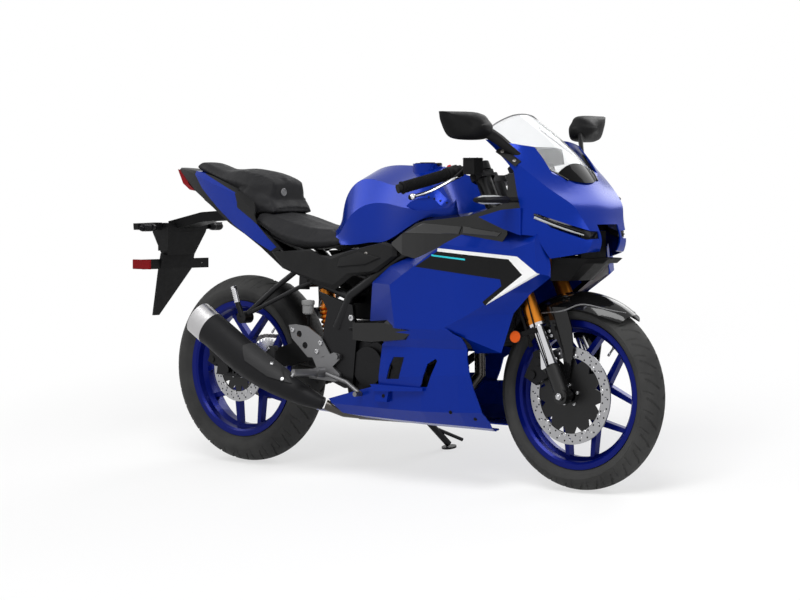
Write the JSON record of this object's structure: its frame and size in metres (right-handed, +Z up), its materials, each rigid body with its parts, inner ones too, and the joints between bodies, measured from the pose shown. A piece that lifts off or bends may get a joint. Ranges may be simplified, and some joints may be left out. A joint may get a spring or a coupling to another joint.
{
  "type": "sport motorcycle",
  "caption": "Full-fairing sport motorcycle in blue, parked on its side stand, with gold fork tubes, a clear screen and a black two-part seat.",
  "frame": {"origin": "on the ground under the middle of the parked bike's bounding box", "axes": "+X towards the front wheel, +Y to the rider's left, +Z up from the ground"},
  "size_m": [2.131, 0.8129, 1.2052],
  "materials": {
    "blue_body": "gloss",
    "blue_rim": "gloss",
    "black_gloss": "gloss",
    "black_matte": "matte",
    "frame_black": "satin",
    "engine_black": "satin",
    "silver": "satin",
    "grey_metal": "satin",
    "gold": "satin",
    "steel": "brushed",
    "chain_steel": "satin",
    "tyre": "matte",
    "seat": "matte",
    "clear": "clear",
    "lamp": "gloss",
    "red_lens": "gloss"
  },
  "bodies": {
    "root": {"airbox": "black_matte", "chain": "chain_steel", "clutch_cover": "engine_black", "cowl_inner": "black_matte", "engine": "engine_black", "exhaust_pipes": "steel", "fairing_left": "blue_body", "fairing_right": "blue_body", "footrest_left": "grey_metal", "footrest_right": "grey_metal", "frame_left": "frame_black", "frame_neck": "frame_black", "frame_right": "frame_black", "front_signal_left": "black_matte", "front_signal_right": "black_matte", "fuel_tank": "blue_body", "headlight": "lamp", "inner_panel_left": "black_gloss", "inner_panel_right": "black_gloss", "instrument": "black_matte", "mirror_left": "black_matte", "mirror_right": "black_matte", "muffler": "frame_black", "muffler_cap": "silver", "passenger_seat": "seat", "peg_hanger_left": "frame_black", "peg_hanger_right": "frame_black", "plate_holder": "black_matte", "radiator": "frame_black", "rear_caliper": "frame_black", "rear_hugger": "black_matte", "rider_seat": "seat", "shock": "gold", "side_cover_left": "black_matte", "side_cover_right": "black_matte", "swingarm": "frame_black", "tail_fairing": "blue_body", "tail_light": "red_lens", "trim_left": "black_gloss", "trim_right": "black_gloss", "upper_cowl": "blue_body", "windscreen": "clear"},
    "steering": {"triple_clamp": "frame_black", "fork_leg_left": "gold", "fork_leg_right": "gold", "handlebar_left": "black_matte", "handlebar_right": "black_matte", "front_fender": "black_gloss", "front_caliper": "frame_black"},
    "front_wheel": {"front_rim": "blue_rim", "front_tyre": "tyre", "front_disc": "steel"},
    "rear_wheel": {"rear_rim": "blue_rim", "rear_tyre": "tyre", "rear_disc": "steel", "rear_sprocket": "steel"},
    "side_stand": {"side_stand": "frame_black"},
    "fuel_lid": {"fuel_lid": "frame_black"}
  },
  "joints": [
    {"name": "steer", "type": "hinge", "parent": "root", "child": "steering", "pos_m": [0.47731, -0.05333, 0.82728], "axis": [-0.4226, 0.1574, 0.8925], "range_deg": [-26, 26]},
    {"name": "front_wheel_spin", "type": "hinge", "parent": "steering", "child": "front_wheel", "pos_m": [0.7735, -0.14814, 0.2896], "axis": [0, 0.9848, -0.1736], "continuous": true},
    {"name": "rear_wheel_spin", "type": "hinge", "parent": "root", "child": "rear_wheel", "pos_m": [-0.6065, -0.14449, 0.31028], "axis": [0, 0.9848, -0.1736], "continuous": true},
    {"name": "stand_fold", "type": "hinge", "parent": "root", "child": "side_stand", "pos_m": [-0.0865, -0.01835, 0.20792], "axis": [0.0635, 0.8049, 0.59], "range_deg": [0, 106]},
    {"name": "lid_open", "type": "hinge", "parent": "root", "child": "fuel_lid", "pos_m": [0.2115, -0.02596, 0.98251], "axis": [0, 0.9848, -0.1736], "range_deg": [0, 95]}
  ]
}
